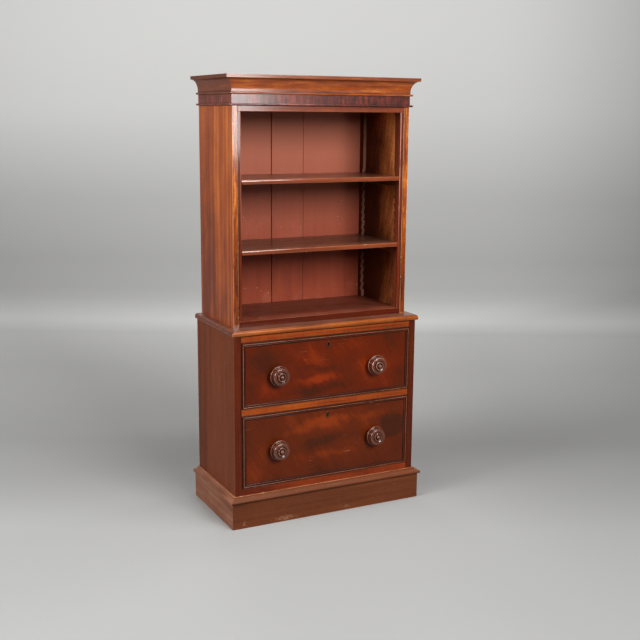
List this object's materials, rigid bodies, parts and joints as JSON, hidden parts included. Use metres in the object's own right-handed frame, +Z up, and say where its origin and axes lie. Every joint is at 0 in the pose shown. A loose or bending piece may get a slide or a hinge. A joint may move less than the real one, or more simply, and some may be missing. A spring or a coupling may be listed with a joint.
{
  "type": "bookcase with drawers",
  "caption": "Open mahogany bookcase with adjustable shelves and a cornice, standing on a chest of long drawers with turned knobs and a moulded plinth.",
  "frame": {"origin": "on the floor, at the centre of the box that holds the whole piece, knobs included", "axes": "+Z up, the front with the drawers faces -Y, +X to the right seen from the front"},
  "size_m": [0.659, 0.351, 1.33],
  "materials": {
    "mahogany": "French polished, straight grain",
    "dark_mahogany": "French polished, dark straight grain",
    "flame_mahogany": "French polished flame veneer",
    "orange_mahogany": "French polished, faded golden",
    "crossband_veneer": "polished veneer with its grain upright",
    "painted_pine": "matt red-brown wash",
    "pine": "bare, aged",
    "turned_mahogany": "turned and polished dark",
    "brass": "dull, aged",
    "iron": "dark sheet iron"
  },
  "bodies": {
    "carcass": {"plinth_front": "mahogany", "plinth_left": "mahogany", "plinth_right": "mahogany", "plinth_back": "pine", "chest_side_left": "dark_mahogany", "chest_side_right": "dark_mahogany", "chest_back": "pine", "chest_top": "orange_mahogany", "chest_bottom_board": "mahogany", "drawer_divider_rail": "orange_mahogany", "chest_top_rail": "mahogany", "dust_board": "pine", "case_side_left": "mahogany", "case_side_right": "mahogany", "corner_strip_left": "mahogany", "corner_strip_right": "mahogany", "case_bottom_board": "dark_mahogany", "case_top_board": "mahogany", "back_board_left": "painted_pine", "back_board_centre": "painted_pine", "back_board_right": "painted_pine", "shelf_rack_front_left": "mahogany", "shelf_rack_back_left": "mahogany", "shelf_rack_front_right": "mahogany", "shelf_rack_back_right": "mahogany", "frieze_front": "crossband_veneer", "frieze_left": "crossband_veneer", "frieze_right": "crossband_veneer", "cornice_front": "orange_mahogany", "cornice_left": "orange_mahogany", "cornice_right": "orange_mahogany", "dust_top_board": "pine"},
    "upper_shelf": {"upper_shelf": "mahogany"},
    "lower_shelf": {"lower_shelf": "mahogany"},
    "upper_bearer_left": {"upper_shelf_bearer_left": "mahogany"},
    "upper_bearer_right": {"upper_shelf_bearer_right": "mahogany"},
    "lower_bearer_left": {"lower_shelf_bearer_left": "mahogany"},
    "lower_bearer_right": {"lower_shelf_bearer_right": "mahogany"},
    "upper_drawer": {"upper_drawer_front": "flame_mahogany", "upper_drawer_moulding": "dark_mahogany", "upper_drawer_side_left": "pine", "upper_drawer_side_right": "pine", "upper_drawer_bottom": "pine", "upper_drawer_back": "pine", "upper_drawer_knob_left": "turned_mahogany", "upper_drawer_knob_right": "turned_mahogany", "upper_drawer_escutcheon": "brass", "upper_drawer_lock_case": "iron"},
    "lower_drawer": {"lower_drawer_front": "flame_mahogany", "lower_drawer_moulding": "dark_mahogany", "lower_drawer_side_left": "pine", "lower_drawer_side_right": "pine", "lower_drawer_bottom": "pine", "lower_drawer_back": "pine", "lower_drawer_knob_left": "turned_mahogany", "lower_drawer_knob_right": "turned_mahogany", "lower_drawer_escutcheon": "brass", "lower_drawer_lock_case": "iron"},
    "upper_bolt": {"upper_drawer_lock_bolt": "brass"},
    "lower_bolt": {"lower_drawer_lock_bolt": "brass"}
  },
  "joints": [
    {"name": "upper_drawer_slide", "type": "slide", "parent": "carcass", "child": "upper_drawer", "axis": [0, -1, 0], "range_m": [0, 0.2]},
    {"name": "lower_drawer_slide", "type": "slide", "parent": "carcass", "child": "lower_drawer", "axis": [0, -1, 0], "range_m": [0, 0.2]},
    {"name": "upper_bolt_slide", "type": "slide", "parent": "upper_drawer", "child": "upper_bolt", "axis": [0, 0, 1], "range_m": [0, 0.009]},
    {"name": "lower_bolt_slide", "type": "slide", "parent": "lower_drawer", "child": "lower_bolt", "axis": [0, 0, 1], "range_m": [0, 0.009]},
    {"name": "upper_shelf_lift", "type": "slide", "parent": "carcass", "child": "upper_shelf", "axis": [0, 0, 1], "range_m": [0, 0.19]},
    {"name": "lower_shelf_lift", "type": "slide", "parent": "carcass", "child": "lower_shelf", "axis": [0, 0, 1], "range_m": [0, 0.17]},
    {"name": "upper_bearer_left_slide", "type": "slide", "parent": "carcass", "child": "upper_bearer_left", "axis": [1, 0, 0], "range_m": [0, 0.012]},
    {"name": "upper_bearer_right_slide", "type": "slide", "parent": "carcass", "child": "upper_bearer_right", "axis": [-1, 0, 0], "range_m": [0, 0.012]},
    {"name": "lower_bearer_left_slide", "type": "slide", "parent": "carcass", "child": "lower_bearer_left", "axis": [1, 0, 0], "range_m": [0, 0.012]},
    {"name": "lower_bearer_right_slide", "type": "slide", "parent": "carcass", "child": "lower_bearer_right", "axis": [-1, 0, 0], "range_m": [0, 0.012]}
  ]
}
